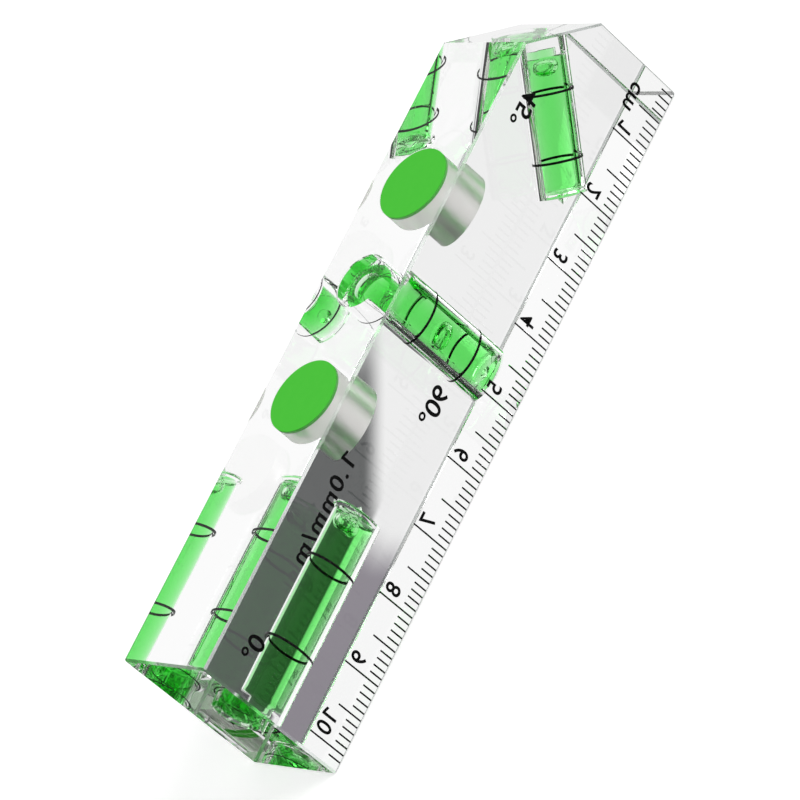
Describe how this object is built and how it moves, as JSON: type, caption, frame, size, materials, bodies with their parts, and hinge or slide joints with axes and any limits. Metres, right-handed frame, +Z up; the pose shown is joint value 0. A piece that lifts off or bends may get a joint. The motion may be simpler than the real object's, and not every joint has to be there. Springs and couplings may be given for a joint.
{
  "type": "magnetic spirit level",
  "caption": "Clear acrylic pocket spirit level with level, plumb and corner vials, two magnets and a millimetre scale on its edge.",
  "frame": {"origin": "middle of the bottom face, the long face along the scale's edge, on which the level stands", "axes": "+X from the scale's zero end to the level vial's end, +Y out of the printed face, +Z up to the magnet face"},
  "size_m": [0.1024, 0.016, 0.0255],
  "materials": {
    "clear_acrylic": "polished clear cast acrylic",
    "tube_acrylic": "clear moulded acrylic",
    "plug_acrylic": "clear moulded acrylic that picks up the liquid's green",
    "green_liquid": "clear fluorescent green spirit",
    "air": "air bubble in the liquid",
    "black_paint": "black marker line",
    "black_ink": "black ink in the engraving",
    "nickel_plate": "bright nickel plating",
    "green_cover": "satin green disc"
  },
  "bodies": {
    "block": {"acrylic_block": "clear_acrylic", "scale_lines": "black_ink", "level_tube": "tube_acrylic", "level_plug": "plug_acrylic", "level_liquid": "green_liquid", "level_inner_ring": "black_paint", "level_outer_ring": "black_paint", "plumb_tube": "tube_acrylic", "plumb_plug": "plug_acrylic", "plumb_liquid": "green_liquid", "plumb_inner_ring": "black_paint", "plumb_outer_ring": "black_paint", "corner_tube": "tube_acrylic", "corner_plug": "plug_acrylic", "corner_liquid": "green_liquid", "corner_inner_ring": "black_paint", "corner_outer_ring": "black_paint", "zero_side_magnet": "nickel_plate", "end_side_magnet": "nickel_plate", "zero_side_cover": "green_cover", "end_side_cover": "green_cover"},
    "level_air": {"level_bubble": "air"},
    "plumb_air": {"plumb_bubble": "air"},
    "corner_air": {"corner_bubble": "air"}
  },
  "joints": [
    {"name": "level_bubble_travel", "type": "slide", "parent": "block", "child": "level_air", "axis": [1, 0, 0], "range_m": [0, 0.0242], "deforming": ["level_liquid"]},
    {"name": "plumb_bubble_travel", "type": "slide", "parent": "block", "child": "plumb_air", "axis": [0, 0, 1], "range_m": [-0.0072, 0.0077], "deforming": ["plumb_liquid"]},
    {"name": "corner_bubble_travel", "type": "slide", "parent": "block", "child": "corner_air", "axis": [0.7071, 0, -0.7071], "range_m": [0, 0.0149], "deforming": ["corner_liquid"]}
  ]
}
